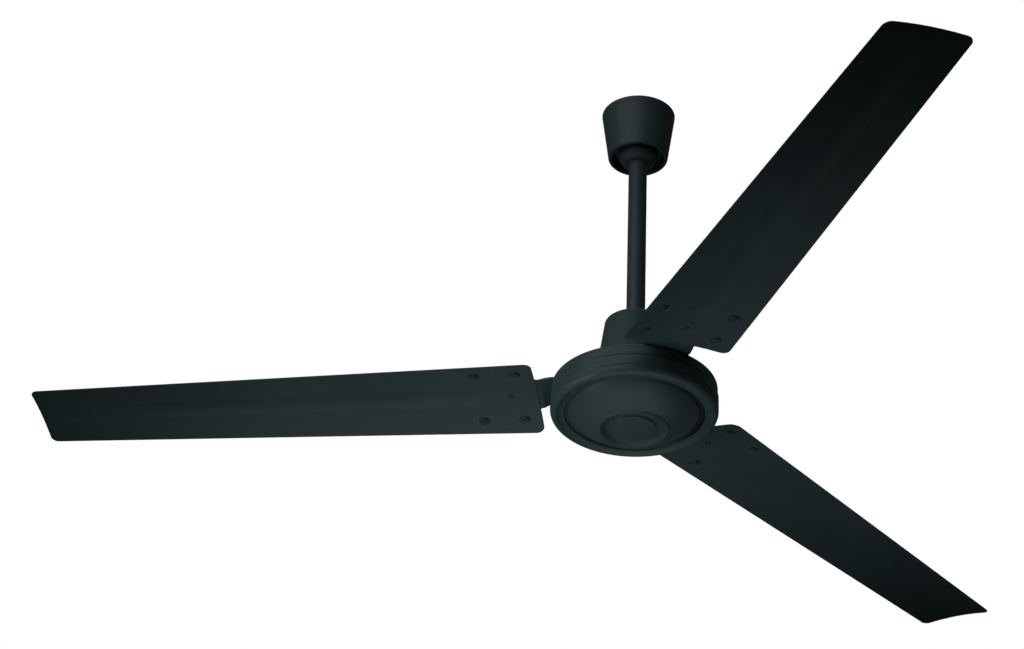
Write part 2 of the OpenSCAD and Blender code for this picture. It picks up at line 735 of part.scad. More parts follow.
module at_housing_screws() {
    for (a = HOUSING_SCREWS) rotate([0, 0, a]) translate([screw_circle_r, 0, 0]) children();
}

module upper_housing() {
    seat_r = UPPER[1];
    z_in_land = z_land - wall_t;
    z_seat_top = z_upper_bearing + UPPER[2];
    spigot_r = housing_r - wall_t - 0.2;
    round_r = 3.2;
    z_spigot = z_part - 3;
    outline = concat(
        [[spigot_r - 2, z_spigot], [spigot_r, z_spigot], [spigot_r, z_part], [skirt_r - 0.6, z_part],
            [skirt_r, z_part + 0.6]],
        arc([skirt_r - round_r, z_land - round_r], round_r, 0, 90, 5),
        bow([dome_foot_r, z_land], [dome_top_r + 2, z_motor_top - 1.4], 2.6, 7),
        [[dome_top_r, z_motor_top], [shaft_r_top + 2, z_motor_top], [shaft_r_top + 2, z_seat_top],
            [seat_r, z_seat_top], [seat_r, z_upper_bearing - 1], [seat_r + hub_wall, z_upper_bearing - 1],
            [seat_r + hub_wall, z_motor_top - wall_t - 1], [dome_top_r - 2, z_motor_top - wall_t - 1]],
        bow([dome_top_r - 0.6, z_motor_top - wall_t - 2], [dome_foot_r - wall_t, z_in_land], -2.2, 7),
        [[skirt_r - wall_t - 2, z_in_land], [spigot_r - 2, z_in_land - 2]]);
    color(paint) difference() {
        union() {
            rotate_extrude($fn = 128) polygon(outline);
            at_arm_bolts() translate([0, 0, z_land - 8]) cylinder(d = arm_bolt_d + 7, h = 6);
            at_housing_screws() translate([0, 0, z_land - 8]) cylinder(r = screw_boss_r - 0.4, h = 6);
        }
        translate([0, 0, z_land - 10]) {
            at_arm_bolts() cylinder(r = arm_bolt_d / 2 + hole_gap, h = 12, $fn = 32);
            at_housing_screws() cylinder(r = housing_screw_r + hole_gap, h = 12, $fn = 32);
        }
        // Cooling slots through the shoulder of the hub
        for (i = [0:17]) rotate([0, 0, 20 * i + 10])
            translate([dome_top_r + 3, -1.5, z_land + 4]) cube([16, 3, dome_h]);
    }
}

module lower_housing() {
    in_r = housing_r - wall_t;
    seat_r = LOWER[1];
    z_seat = z_lower_bearing;
    roll = [housing_r - rim_roll_r, z_roll];
    z_line = z_part - 13.6;
    outside = concat(
        [[in_r, z_low_top], [housing_r - 0.6, z_low_top], [housing_r, z_low_top - 0.6]],
        [[housing_r, z_line + 0.9], [housing_r - 0.8, z_line], [housing_r, z_line - 0.9]],
        arc(roll, rim_roll_r, 0, -90, 9),
        bow([housing_r - rim_roll_r, z_bottom_rim], [ring_in_r, z_ring_in], 0.8, 5),
        [[ring_in_r - 1.6, z_groove]],
        bow([dome_r, z_groove], [boss_r + 0.8, z_dome_foot], -dome_bulge, 10),
        arc([boss_r - 0.9, z_boss + 1.1], 1.1, 0, -120, 5),
        [[cap_r + 7, z_recess + 0.6], [cap_r + 5.5, z_recess], [seat_r - 2, z_recess]]);
    inside = concat(
        [[seat_r - 2, z_seat], [seat_r, z_seat], [seat_r, z_seat + LOWER[2] + 0.5],
            [seat_r + hub_wall, z_seat + LOWER[2] + 0.5], [seat_r + hub_wall, z_recess + wall_t],
            [boss_r - 3, z_recess + wall_t]],
        bow([boss_r - 0.5, z_dome_foot + wall_t + 0.8], [dome_r - 3.5, z_floor], dome_bulge, 10),
        [[ring_in_r - 1.2, z_floor], [ring_in_r + 2, z_ring_in + 2.6]],
        [[housing_r - rim_roll_r, z_bottom_rim + wall_t], [in_r - 1, z_roll - 1], [in_r, z_roll + 1]]);
    color(paint) difference() {
        union() {
            rotate_extrude($fn = 128) polygon(concat(outside, inside));
            at_housing_screws() {
                translate([0, 0, z_ring_in + 1]) cylinder(r = screw_boss_r, h = z_part - 4.6 - z_ring_in);
                translate([0, -1.5, z_ring_in + 1])
                    cube([in_r - screw_circle_r + 1, 3, z_part - 6 - z_ring_in]);
            }
        }
        at_housing_screws() translate([0, 0, z_ring_in + 4])
            cylinder(r = housing_screw_r + hole_gap, h = 40, $fn = 32);
    }
}

// The disc that closes the lower bearing
module bottom_cap() {
    face = z_boss + 1.8;
    plug_r = LOWER[1] - 2.1;
    color(paint_light) rotate_extrude($fn = 96) polygon(concat(
        bow([0, face - 0.7], [cap_r - 1.6, face], 0.2, 4),
        arc([cap_r - 1.6, face + 1.6], 1.6, -75, 0, 4),
        [[cap_r, z_recess], [plug_r, z_recess], [plug_r, z_recess + 1.9],
            [plug_r - 1.4, z_recess + 1.9], [plug_r - 1.4, z_recess - 0.4], [0, z_recess - 0.4]]));
}

module housing_screws() {
    color(zinc) at_housing_screws() {
        translate([0, 0, z_land]) pan_head(3.7, 2.4);
        translate([0, 0, z_ring_in + 6])
            cylinder(r = housing_screw_r, h = z_land - z_ring_in - 5.5, $fn = 32);
    }
}

// ARMS AND BLADES

module in_blade_frame() {
    translate([0, 0, crown_z]) rotate([0, -blade_cone, 0]) rotate([blade_pitch, 0, 0]) children();
}

// A spot on the cambered sheet, square to it: x along the blade, s along the camber
module on_sheet(x, s) {
    translate([x, 0, -camber_r]) rotate([-asin(s / camber_r), 0, 0]) translate([0, 0, camber_r]) children();
}

module at_blade_screws() {
    for (x = screw_x, side = [-1, 1]) on_sheet(x, side * screw_spacing / 2) children();
}

// Everything under the pressed sheet's surface, which lies k above the middle of the sheet:
// camber, bead and dimples together, so that arm and blade nest
module pressed_form(k) {
    x0 = root_r - form_reach;
    translate([x0, 0, -camber_r]) rotate([0, 90, 0])
        cylinder(r = camber_r + k, h = sweep_r - x0 + form_reach, $fn = 360);
    translate([0, 0, bead_h - bead_r]) {
        translate([bead_x0, 0, 0]) rotate([0, 90, 0])
            cylinder(r = bead_r + k, h = bead_x1 - bead_x0, $fn = 180);
        for (x = [bead_x0, bead_x1]) translate([x, 0, 0]) rotate([0, 90, 0])
            sphere(r = bead_r + k, $fn = 180);
    }
    top_r = dimple_flat_r + k * (sqrt(1 + dimple_slope * dimple_slope) - dimple_slope);
    at_blade_screws() translate([0, 0, -4])
        cylinder(r1 = top_r + dimple_slope * (dimple_h + k + 4), r2 = top_r, h = dimple_h + k + 4);
}

module blade_outline() {
    h0 = root_chord / 2;
    h1 = tip_chord / 2;
    polygon(rounded([[root_r, -h0], [sweep_r, -h1], [sweep_r, h1], [root_r, h0]],
        [root_corner_lead, tip_corner, tip_corner, root_corner_trail], 8));
}

module blade(a) {
    color(paint) rotate([0, 0, a]) in_blade_frame() difference() {
        intersection() {
            translate([0, 0, form_low]) linear_extrude(form_high - form_low) blade_outline();
            pressed_form(blade_t / 2);
        }
        pressed_form(-blade_t / 2);
        at_blade_screws() translate([0, 0, -6]) cylinder(r = screw_d / 2 + 0.2, h = 12, $fn = 32);
        on_sheet(rivet_x, 0) translate([0, 0, -6]) cylinder(r = rivet_d / 2 + hole_gap, h = 12, $fn = 32);
    }
}

module arm_outline() {
    n = neck_w / 2;
    w = screw_spacing / 2 + arm_edge;
    x0 = root_r - 1;
    x1 = screw_x[0] - 5;
    x2 = screw_x[1] + arm_edge;
    difference() {
        polygon(rounded([[x0, -n], [x0 + 4, -n], [x1, -w], [x2, -w], [x2, w], [x1, w], [x0 + 4, n], [x0, n]],
            [0.2, 3, 8, arm_edge, arm_edge, 8, 3, 0.2], 6));
        translate([x2 + scallop_out, 0]) circle(r = scallop_r, $fn = 64);
    }
}

// A point of the blade's own frame, in the part's frame
function from_blade(p) =
    let (y = p[1] * cos(blade_pitch) - p[2] * sin(blade_pitch),
         z = p[1] * sin(blade_pitch) + p[2] * cos(blade_pitch))
    [p[0] * cos(blade_cone) - z * sin(blade_cone), y,
        p[0] * sin(blade_cone) + z * cos(blade_cone) + crown_z];

// Points across the neck at x, turned by share e from the flange's plane to the pad's curve
function neck_row(x, e, lift) =
    let (half = (flange_w * (1 - e) + neck_w * e) / 2 - 0.5, r = camber_r + blade_t / 2 + lift)
    [for (j = [0:neck_across]) let (y = half * (2 * j / neck_across - 1))
        (1 - e) * [x, y, z_land + lift] + e * from_blade([x, y, sqrt(r * r - y * y) - camber_r])];

function neck_loop(x, e) = concat(neck_row(x, e, arm_t - neck_in),
    let (low = neck_row(x, e, neck_in)) [for (j = [neck_across:-1:0]) low[j]]);

// The twisted neck between flange and pad, whose ends lie just inside them
module neck() {
    xa = housing_r + 1;
    xb = root_r - 1.5;
    loops = concat([neck_loop(flange_out_r - 3, 0)],
        [for (i = [0:neck_steps]) let (t = i / neck_steps)
            neck_loop(xa + (xb - xa) * t, t * t * (3 - 2 * t))],
        [neck_loop(xb + 4, 1)]);
    m = neck_across;
    w = 2 * (m + 1);
    last = (len(loops) - 1) * w;
    polyhedron(
        points = [for (l = loops) each l],
        faces = concat(
            [for (i = [0:len(loops) - 2], k = [0:w - 1]) let (a = i * w + k, b = i * w + (k + 1) % w)
                each [[a, b, b + w], [a, b + w, a + w]]],
            [for (j = [0:m - 1]) each [[j + 1, j, w - 2 - j], [j, w - 1 - j, w - 2 - j]]],
            [for (j = [0:m - 1]) each [[last + j, last + j + 1, last + w - 2 - j],
                [last + j, last + w - 2 - j, last + w - 1 - j]]]));
}

module arm(a) {
    half = flange_w / 2;
    flange = [[flange_in_r, 2 - half], [flange_out_r + 1, -half], [flange_out_r + 1, half],
        [flange_in_r, half - 2]];
    color(paint) rotate([0, 0, a]) difference() {
        union() {
            translate([0, 0, z_land]) linear_extrude(arm_t) polygon(rounded(flange, [9, 0.2, 0.2, 9]));
            neck();
            in_blade_frame() difference() {
                intersection() {
                    translate([0, 0, form_low]) linear_extrude(form_high - form_low) arm_outline();
                    pressed_form(blade_t / 2 + arm_t);
                }
                pressed_form(blade_t / 2);
            }
        }
        for (side = [-1, 1]) translate([arm_bolt_r, side * arm_bolt_spacing / 2, z_land - cut])
            cylinder(r = arm_bolt_d / 2 + 0.2, h = arm_t + 2 * cut, $fn = 32);
        in_blade_frame() {
            at_blade_screws() translate([0, 0, -6]) cylinder(r = screw_d / 2 + 0.2, h = 16, $fn = 32);
            on_sheet(rivet_x, 0) translate([0, 0, -6]) cylinder(r = rivet_d / 2 + hole_gap, h = 16, $fn = 32);
        }
    }
}

module arm_bolts() {
    color(zinc) at_arm_bolts() translate([0, 0, z_land]) {
        translate([0, 0, -9]) cylinder(d = arm_bolt_d, h = arm_t + 10, $fn = 32);
        translate([0, 0, arm_t]) cylinder(r = arm_bolt_d, h = 1.4, $fn = 32);
        translate([0, 0, arm_t + 1.4]) hex(arm_bolt_d + 4, 4);
    }
}

module on_every_blade() {
    for (a = BLADES) rotate([0, 0, a]) in_blade_frame() children();
}

module blade_screws() {
    color(zinc) on_every_blade() at_blade_screws() {
        translate([0, 0, head_seat]) mirror([0, 0, 1]) pan_head(screw_head_r, screw_head_h);
        translate([0, 0, head_seat - 0.2])
            cylinder(d = screw_d, h = arm_top - head_seat + washer_t + nut_h + screw_end + 0.2, $fn = 32);
    }
}

module blade_washers() {
    color(zinc) on_every_blade() at_blade_screws() translate([0, 0, arm_top])
        ring(dimple_flat_r - 0.4, screw_d / 2 + 0.2, washer_t, 32);
}

module blade_nuts() {
    color(zinc) on_every_blade() at_blade_screws() translate([0, 0, arm_top + washer_t]) difference() {
        hex(screw_d + 3, nut_h);
        translate([0, 0, -cut]) cylinder(r = screw_d / 2 + hole_gap, h = nut_h + 2 * cut, $fn = 32);
    }
}

module locating_rivets() {
    top = blade_t / 2 + arm_t;
    bottom = -blade_t / 2 - 0.03;
    head_r = rivet_d / 2 + rivet_head_h;
    color(zinc) on_every_blade() on_sheet(rivet_x, 0) {
        translate([0, 0, bottom]) mirror([0, 0, 1]) pan_head(head_r, rivet_head_h);
        translate([0, 0, bottom - 0.2]) cylinder(d = rivet_d, h = top - bottom + 0.4, $fn = 32);
        translate([0, 0, top]) pan_head(head_r, rivet_head_h);
    }
}

hanger_bracket();
rubber_roller();
roller_bolt();
roller_nut();
shackle();
shackle_bolt();
shackle_nut();
downrod();
canopy();
canopy_screw();
coupling_cover();
cover_screw();
coupling();
coupling_pin();
pin_clip();
set_screws();
capacitor();
capacitor_strap();
motor_leads();
lead_connector();
motor_shaft();
shaft_circlip();
stator_core();
winding();
bearing_inner(UPPER, z_upper_bearing);  // upper_bearing_inner
bearing_outer(UPPER, z_upper_bearing);  // upper_bearing_outer
bearing_cage(UPPER, z_upper_bearing);  // upper_bearing_cage
bearing_balls(UPPER, z_upper_bearing);  // upper_bearing_balls
bearing_inner(LOWER, z_lower_bearing);  // lower_bearing_inner
bearing_outer(LOWER, z_lower_bearing);  // lower_bearing_outer
bearing_cage(LOWER, z_lower_bearing);  // lower_bearing_cage
bearing_balls(LOWER, z_lower_bearing);  // lower_bearing_balls
upper_housing();
lower_housing();
rotor_ring();
bottom_cap();
housing_screws();
arm(BLADES[0]);  // arm_1
arm(BLADES[1]);  // arm_2
arm(BLADES[2]);  // arm_3
arm_bolts();
blade(BLADES[0]);  // blade_1
blade(BLADES[1]);  // blade_2
blade(BLADES[2]);  // blade_3
blade_screws();
blade_washers();
blade_nuts();
locating_rivets();
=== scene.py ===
# %% [markdown]
# # Ceiling fan with three pressed metal blades
#
# The fan hangs from a ceiling bracket on a short tube. Its motor turns inside out: the shaft
# stands still and the whole black housing spins, with one sheet-metal blade on each arm.
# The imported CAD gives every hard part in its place, so this file is mostly about what light does
# on them: satin black enamel, zinc, turned steel, rubber and lacquered wire. Only the small
# screws are modelled again, with the recesses and threads that the CAD leaves out.

# %% Load the frame
import bpy
import bmesh
import math
import json
from mathutils import Matrix, Vector


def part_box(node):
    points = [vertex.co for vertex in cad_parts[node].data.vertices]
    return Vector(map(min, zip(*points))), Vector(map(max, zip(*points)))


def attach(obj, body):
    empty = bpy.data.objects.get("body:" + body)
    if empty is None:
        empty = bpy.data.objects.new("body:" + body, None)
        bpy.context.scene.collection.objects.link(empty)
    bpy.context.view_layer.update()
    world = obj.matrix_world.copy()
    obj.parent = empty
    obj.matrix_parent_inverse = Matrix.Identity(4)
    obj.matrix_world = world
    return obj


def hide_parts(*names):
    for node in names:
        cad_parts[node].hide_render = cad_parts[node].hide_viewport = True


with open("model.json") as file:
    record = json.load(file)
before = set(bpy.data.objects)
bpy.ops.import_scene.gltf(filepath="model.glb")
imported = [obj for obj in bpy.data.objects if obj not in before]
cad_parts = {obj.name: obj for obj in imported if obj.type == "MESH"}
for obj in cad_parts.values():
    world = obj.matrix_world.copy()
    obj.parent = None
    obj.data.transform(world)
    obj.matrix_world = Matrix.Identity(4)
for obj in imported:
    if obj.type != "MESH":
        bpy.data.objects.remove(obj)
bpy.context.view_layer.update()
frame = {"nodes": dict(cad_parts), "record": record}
NODES = frame["nodes"]

# %% [markdown]
# ## The camera
#
# The photograph was taken from below the fan, looking up, with a fairly long lens. The place and
# the lens come from a fit of the blades' outlines, their screws and the motor's circles. They
# could be set by eye, but on long, thin blades a degree of error shows at every tip.

# %% Camera
CAMERA_AT = Vector((0.3380, -2.6886, -2.0643))
CAMERA_YAW = math.radians(-10.220)
CAMERA_PITCH = math.radians(32.893)
CAMERA_ROLL = math.radians(2.51)
LENS = 96.94
SENSOR_WIDTH = 36
FARTHEST_SEEN = 60


def camera_turn(yaw, pitch, roll):
    """The camera's axes as a matrix: right, up and backward in its columns."""
    ahead = Vector((math.sin(yaw) * math.cos(pitch), math.cos(yaw) * math.cos(pitch),
                    math.sin(pitch)))
    level = Vector((math.cos(yaw), -math.sin(yaw), 0))
    rise = level.cross(ahead)
    right = math.cos(roll) * level + math.sin(roll) * rise
    up = -math.sin(roll) * level + math.cos(roll) * rise
    return Matrix((right, up, -ahead)).transposed()


lens_data = bpy.data.cameras.new("photo_camera")
lens_data.sensor_width = SENSOR_WIDTH
lens_data.lens = LENS
lens_data.clip_end = FARTHEST_SEEN
camera = bpy.data.objects.new("photo_camera", lens_data)
turn = camera_turn(CAMERA_YAW, CAMERA_PITCH, CAMERA_ROLL)
camera.matrix_world = Matrix.Translation(CAMERA_AT) @ turn.to_4x4()
bpy.context.scene.collection.objects.link(camera)
bpy.context.scene.camera = camera
print("camera", [round(v, 3) for v in CAMERA_AT], "lens", LENS)

# %% [markdown]
# ## Nodes
#
# The room's light and every finish are built from a few kinds of shader node. They could be
# placed one by one, as in the node editor, but the links would take up most of the file. Each
# function here places one kind, feeds it constants or links, and gives back the socket with its
# result, so the cells below read as a list of what goes into a look.

# %% Node functions
MIX_COLOURS = (6, 7)
MIX_RESULT = 2


def new_node(tree, kind, at, **values):
    made = tree.nodes.new(kind)
    made.location = at
    for name, value in values.items():
        setattr(made, name, value)
    return made


def feed(tree, socket, value):
    """Links a socket to the one that holds its value, or sets it to a constant."""
    if isinstance(value, bpy.types.NodeSocket):
        tree.links.new(value, socket)
    else:
        socket.default_value = value


def math_node(tree, at, operation, first, second=0.0):
    made = new_node(tree, "ShaderNodeMath", at, operation=operation)
    feed(tree, made.inputs[0], first)
    feed(tree, made.inputs[1], second)
    return made.outputs["Value"]


def dot_node(tree, at, vector, direction):
    made = new_node(tree, "ShaderNodeVectorMath", at, operation="DOT_PRODUCT")
    feed(tree, made.inputs[0], vector)
    feed(tree, made.inputs[1], direction)
    return made.outputs["Value"]


def split_axes(tree, at, vector):
    made = new_node(tree, "ShaderNodeSeparateXYZ", at)
    feed(tree, made.inputs["Vector"], vector)
    return made.outputs


def range_node(tree, at, value, low, high, to_low=0.0, to_high=1.0):
    made = new_node(tree, "ShaderNodeMapRange", at, interpolation_type="SMOOTHSTEP")
    for label, number in (("Value", value), ("From Min", low), ("From Max", high),
                          ("To Min", to_low), ("To Max", to_high)):
        feed(tree, made.inputs[label], number)
    return made.outputs["Result"]


def mix_colour(tree, at, share, first, second):
    """Blends two colours. The node has such sockets for each kind of data, so they go by number."""
    made = new_node(tree, "ShaderNodeMix", at, data_type="RGBA")
    feed(tree, made.inputs["Factor"], share)
    for number, colour in zip(MIX_COLOURS, (first, second)):
        feed(tree, made.inputs[number], colour)
    return made.outputs[MIX_RESULT]


# %% [markdown]
# ## The studio
#
# A dark object shows its form only by its lights. One wide soft light stands on the camera's
# left and draws the upright walls, which mirror what is above the camera. A second one hangs
# close under the motor, so the undersides are brightest at the hub and fade towards the tips,
# and a small one beside it fills the motor's left side. Two more light the top and the back for
# the other views. No reflection shows these two, or they would burn out the zinc and draw bright
# lines along the edges, and the camera sees no lamp at all. Behind the fan hangs a white screen
# that fills the picture. Reflections see a third of its white, because the photograph has no
# bright line along any edge, and a soft ceiling straight above. The rest of the room is dim.

# %% World
ROOM_GREY = (0.03, 0.032, 0.033, 1)
SCREEN_WHITE = (1, 1, 1, 1)
SCREEN_HALF_ANGLE = math.radians(7)
SCREEN_SOFT_EDGE = math.radians(3)
SCREEN_EDGE = (math.cos(SCREEN_HALF_ANGLE + SCREEN_SOFT_EDGE), math.cos(SCREEN_HALF_ANGLE))
CEILING_EDGE = (0.84, 0.95)
MIRRORED_SCREEN = 0.3
MIRRORED_CEILING = 0.6
ahead = camera_turn(CAMERA_YAW, CAMERA_PITCH, 0) @ Vector((0, 0, -1))
world = bpy.data.worlds.new("studio")
world.use_nodes = True
bpy.context.scene.world = world
tree = world.node_tree
tree.nodes.clear()
rays = new_node(tree, "ShaderNodeLightPath", (-900, 300)).outputs
heading = new_node(tree, "ShaderNodeTexCoord", (-1300, 0)).outputs["Generated"]
toward = dot_node(tree, (-1100, 0), heading, ahead)
screen = range_node(tree, (-900, 0), toward, *SCREEN_EDGE, 0.0, MIRRORED_SCREEN)
rise = split_axes(tree, (-1100, -250), heading)["Z"]
overhead = range_node(tree, (-900, -250), rise, *CEILING_EDGE, 0.0, MIRRORED_CEILING)
white = math_node(tree, (-800, -100), "MAXIMUM", screen, overhead)
mirrored = math_node(tree, (-700, 0), "MULTIPLY", white, rays["Is Glossy Ray"])
seen = math_node(tree, (-500, 100), "MAXIMUM", rays["Is Camera Ray"], mirrored)
seen = math_node(tree, (-300, 200), "MAXIMUM", seen, rays["Is Transmission Ray"])
colour = mix_colour(tree, (-100, 200), seen, ROOM_GREY, SCREEN_WHITE)
glow = new_node(tree, "ShaderNodeBackground", (100, 200))
tree.links.new(colour, glow.inputs["Color"])
out = new_node(tree, "ShaderNodeOutputWorld", (300, 200))
tree.links.new(glow.outputs["Background"], out.inputs["Surface"])
print("world nodes", len(tree.nodes))

# %% Lights
HUB = (0, 0, -0.42)


def soft_light(name, at, size, watts, spread, aim=HUB, mirrored=True):
    lamp = bpy.data.lights.new(name, "AREA")
    lamp.shape = "RECTANGLE"
    lamp.size, lamp.size_y = size
    lamp.energy = watts
    lamp.spread = math.radians(spread)
    holder = bpy.data.objects.new(name, lamp)
    turn = (Vector(aim) - Vector(at)).to_track_quat("-Z", "Y").to_matrix().to_4x4()
    holder.matrix_world = Matrix.Translation(at) @ turn
    holder.visible_glossy = mirrored
    holder.visible_camera = False
    bpy.context.scene.collection.objects.link(holder)
    print(name, "at", at, watts, "W")


soft_light("side_softbox", (-0.72, -1.75, 0.25), (3.2, 1.8), 19.5, 120)
soft_light("under_softbox", (-0.2, 0.05, -0.87), (1.0, 1.0), 1.82, 96, aim=(-0.2, 0.05, 0))
soft_light("hub_softbox", (-0.6, -0.3, -0.72), (0.35, 0.35), 0.33, 50)
soft_light("top_softbox", (-0.2, 0.7, 2.2), (3.0, 3.0), 44, 120, mirrored=False)
soft_light("back_softbox", (0.7, 2.6, 0.5), (3.0, 1.8), 18, 120, mirrored=False)

# %% [markdown]
# ## The floor
#
# The floor of the room is 2.2 m under the motor. The picture doesn't show it, but views from
# above do, and the fan's shadow falls on it. It looks pale to the camera and is dark to
# everything else, because the photographed blades show no bright floor in their undersides.
# It is clear from below, so that a low camera looks up through it. A plain disc is enough, as it
# is so wide that its rim lies far behind the fan.

# %% Floor
FLOOR_HEIGHT = -2.62
FLOOR_RADIUS = 9.0
FLOOR_SIDES = 96
FLOOR_ROUGHNESS = 0.9
FLOOR_FOR_LIGHT = (0.12, 0.12, 0.12, 1)
FLOOR_FOR_CAMERA = (0.34, 0.34, 0.34, 1)
FLOOR_GLOW_COLOUR = (1, 1, 1, 1)
FLOOR_GLOW = 0.75


def start_clean():
    """Leaves edit mode and selects nothing, so that the next step works on its own piece."""
    if bpy.context.object and bpy.context.object.mode != "OBJECT":
        bpy.ops.object.mode_set(mode="OBJECT")
    bpy.ops.object.select_all(action="DESELECT")


start_clean()
bpy.ops.mesh.primitive_circle_add(vertices=FLOOR_SIDES, radius=FLOOR_RADIUS,
                                  fill_type="NGON", location=(0, 0, FLOOR_HEIGHT))
floor = bpy.context.object
floor.name = "studio_floor"
pale = bpy.data.materials.new("pale_floor")
pale.use_nodes = True
tree = pale.node_tree
shader = tree.nodes["Principled BSDF"]
shader.inputs["Roughness"].default_value = FLOOR_ROUGHNESS
shader.inputs["Emission Color"].default_value = FLOOR_GLOW_COLOUR
by_camera = new_node(tree, "ShaderNodeLightPath", (-900, 0)).outputs["Is Camera Ray"]
colour = mix_colour(tree, (-500, 200), by_camera, FLOOR_FOR_LIGHT, FLOOR_FOR_CAMERA)
glow = math_node(tree, (-500, -100), "MULTIPLY", by_camera, FLOOR_GLOW)
tree.links.new(colour, shader.inputs["Base Color"])
tree.links.new(glow, shader.inputs["Emission Strength"])
from_below = new_node(tree, "ShaderNodeNewGeometry", (200, 400)).outputs["Backfacing"]
clear = new_node(tree, "ShaderNodeBsdfTransparent", (200, 200)).outputs["BSDF"]
one_way = new_node(tree, "ShaderNodeMixShader", (500, 300))
for number, source in enumerate((from_below, shader.outputs["BSDF"], clear)):
    tree.links.new(source, one_way.inputs[number])
tree.links.new(one_way.outputs["Shader"], tree.nodes["Material Output"].inputs["Surface"])
floor.data.materials.append(pale)
print("floor at", FLOOR_HEIGHT)

# %% [markdown]
# ## Enamel
#
# The fan is painted a cool near-black. Sprayed enamel is never quite even: it has a fine orange
# peel, its gloss drifts a little over a hand's width, and pale dust settles on whatever faces
# up. An image of paint could show this, but it would have to be wrapped round each piece and
# would show a seam. Noise that reads the place in space has none, so all painted parts share one
# group of it, each with its own numbers.

# %% Noise, products and empty groups
def noise_node(tree, at, where, scale, detail, rough=0.5):
    made = new_node(tree, "ShaderNodeTexNoise", at)
    for label, value in (("Vector", where), ("Scale", scale),
                         ("Detail", detail), ("Roughness", rough)):
        feed(tree, made.inputs[label], value)
    return made.outputs["Fac"]


def multiply_all(tree, at, values):
    """The product of two or more values, with its nodes in a row from the given place."""
    product = values[0]
    for step, value in enumerate(values[1:]):
        product = math_node(tree, (at[0] + 150 * step, at[1]), "MULTIPLY", product, value)
    return product


def new_group(name, colours, numbers):
    """A group that gives a colour, a roughness and a height, and the sockets inside it."""
    group = bpy.data.node_groups.new(name, "ShaderNodeTree")
    inputs = [(label, "INPUT", "Color") for label in colours]
    inputs += [(label, "INPUT", "Float") for label in numbers]
    outputs = [("Colour", "OUTPUT", "Color"), ("Roughness", "OUTPUT", "Float"),
               ("Height", "OUTPUT", "Float")]
    for label, way, kind in inputs + outputs:
        group.interface.new_socket(label, in_out=way, socket_type="NodeSocket" + kind)
    given = new_node(group, "NodeGroupInput", (-1200, 0)).outputs
    result = new_node(group, "NodeGroupOutput", (900, 0)).inputs
    return group, given, result


# %% Enamel group
GLOSS_DRIFT = (0.3, 0.7)
DRIFT_SCALE = 9.0
WORN_PATCHES = (0.35, 0.7, 0.0, 0.35)
DUST_SCALE = 420.0
DUST_GRAINS = (0.35, 0.75, 0.25, 1.0)
DUST_FACES_UP = (0.2, 0.95)
DUST_COLOUR = (0.16, 0.155, 0.145, 1)
DUST_DULLS = 0.3
enamel, given, result = new_group("enamel_skin", ("Colour", "Worn Colour"),
                                  ("Gloss Low", "Gloss High", "Peel Scale", "Dust"))
where = new_node(enamel, "ShaderNodeTexCoord", (-1200, 400)).outputs["Object"]
facing = new_node(enamel, "ShaderNodeNewGeometry", (-1200, 700)).outputs["Normal"]
drift = noise_node(enamel, (-900, 300), where, DRIFT_SCALE, detail=2.0)
grains = noise_node(enamel, (-900, 100), where, DUST_SCALE, detail=3.0, rough=0.6)
peel = noise_node(enamel, (-900, -200), where, given["Peel Scale"], detail=2.0)
worn = range_node(enamel, (-600, 300), drift, *WORN_PATCHES)
tone = mix_colour(enamel, (-300, 200), worn, given["Colour"], given["Worn Colour"])
facing_up = split_axes(enamel, (-1000, 700), facing)["Z"]
facing_up = range_node(enamel, (-600, 700), facing_up, *DUST_FACES_UP)
grains = range_node(enamel, (-600, 100), grains, *DUST_GRAINS)
dust = multiply_all(enamel, (-300, 600), (facing_up, grains, given["Dust"]))
dusty = mix_colour(enamel, (100, 300), dust, tone, DUST_COLOUR)
gloss = range_node(enamel, (-300, -50), drift, *GLOSS_DRIFT,
                   given["Gloss Low"], given["Gloss High"])
dull = math_node(enamel, (100, 0), "MULTIPLY", dust, DUST_DULLS)
gloss = math_node(enamel, (300, 0), "ADD", gloss, dull)
for label, source in (("Colour", dusty), ("Roughness", gloss), ("Height", peel)):
    enamel.links.new(source, result[label])
print("enamel group", len(enamel.nodes), "nodes")

# %% [markdown]
# ## Bare metal
#
# Zinc plate is a soft grey with faint blotches, turned steel has fine rings, and wire is a row
# of thin lacquered strands. One group gives them their colour drift, their gloss and a height
# of fine grain. The rings could be cut into the mesh, but they are far finer than its faces, so
# they are a wave over the distance from the fan's axis and the height.

# %% Metal group
BLOTCHES = (0.35, 0.68)
GRAIN_SCALE = 1500.0
metal, given, result = new_group(
    "metal_skin", ("Colour", "Second Colour"),
    ("Blotch Scale", "Line Scale", "Gloss Low", "Gloss High", "Lines"))
where = new_node(metal, "ShaderNodeTexCoord", (-1200, 400)).outputs["Object"]
axes = split_axes(metal, (-1000, 600), where)
x_squared = math_node(metal, (-800, 700), "MULTIPLY", axes["X"], axes["X"])
y_squared = math_node(metal, (-800, 550), "MULTIPLY", axes["Y"], axes["Y"])
reach = math_node(metal, (-620, 600), "ADD", x_squared, y_squared)
reach = math_node(metal, (-450, 600), "SQRT", reach)
along = math_node(metal, (-300, 500), "ADD", reach, axes["Z"])
lines = math_node(metal, (-200, 500), "MULTIPLY", along, given["Line Scale"])
lines = math_node(metal, (-100, 500), "SINE", lines)
lines = math_node(metal, (100, 400), "MULTIPLY", lines, given["Lines"])
blotch = noise_node(metal, (-900, 200), where, given["Blotch Scale"], detail=3.0, rough=0.6)
grain = noise_node(metal, (-900, -100), where, GRAIN_SCALE, detail=2.0)
share = range_node(metal, (-500, 200), blotch, *BLOTCHES)
tone = mix_colour(metal, (-200, 200), share, given["Colour"], given["Second Colour"])
gloss = range_node(metal, (-200, -50), blotch, *GLOSS_DRIFT,
                   given["Gloss Low"], given["Gloss High"])
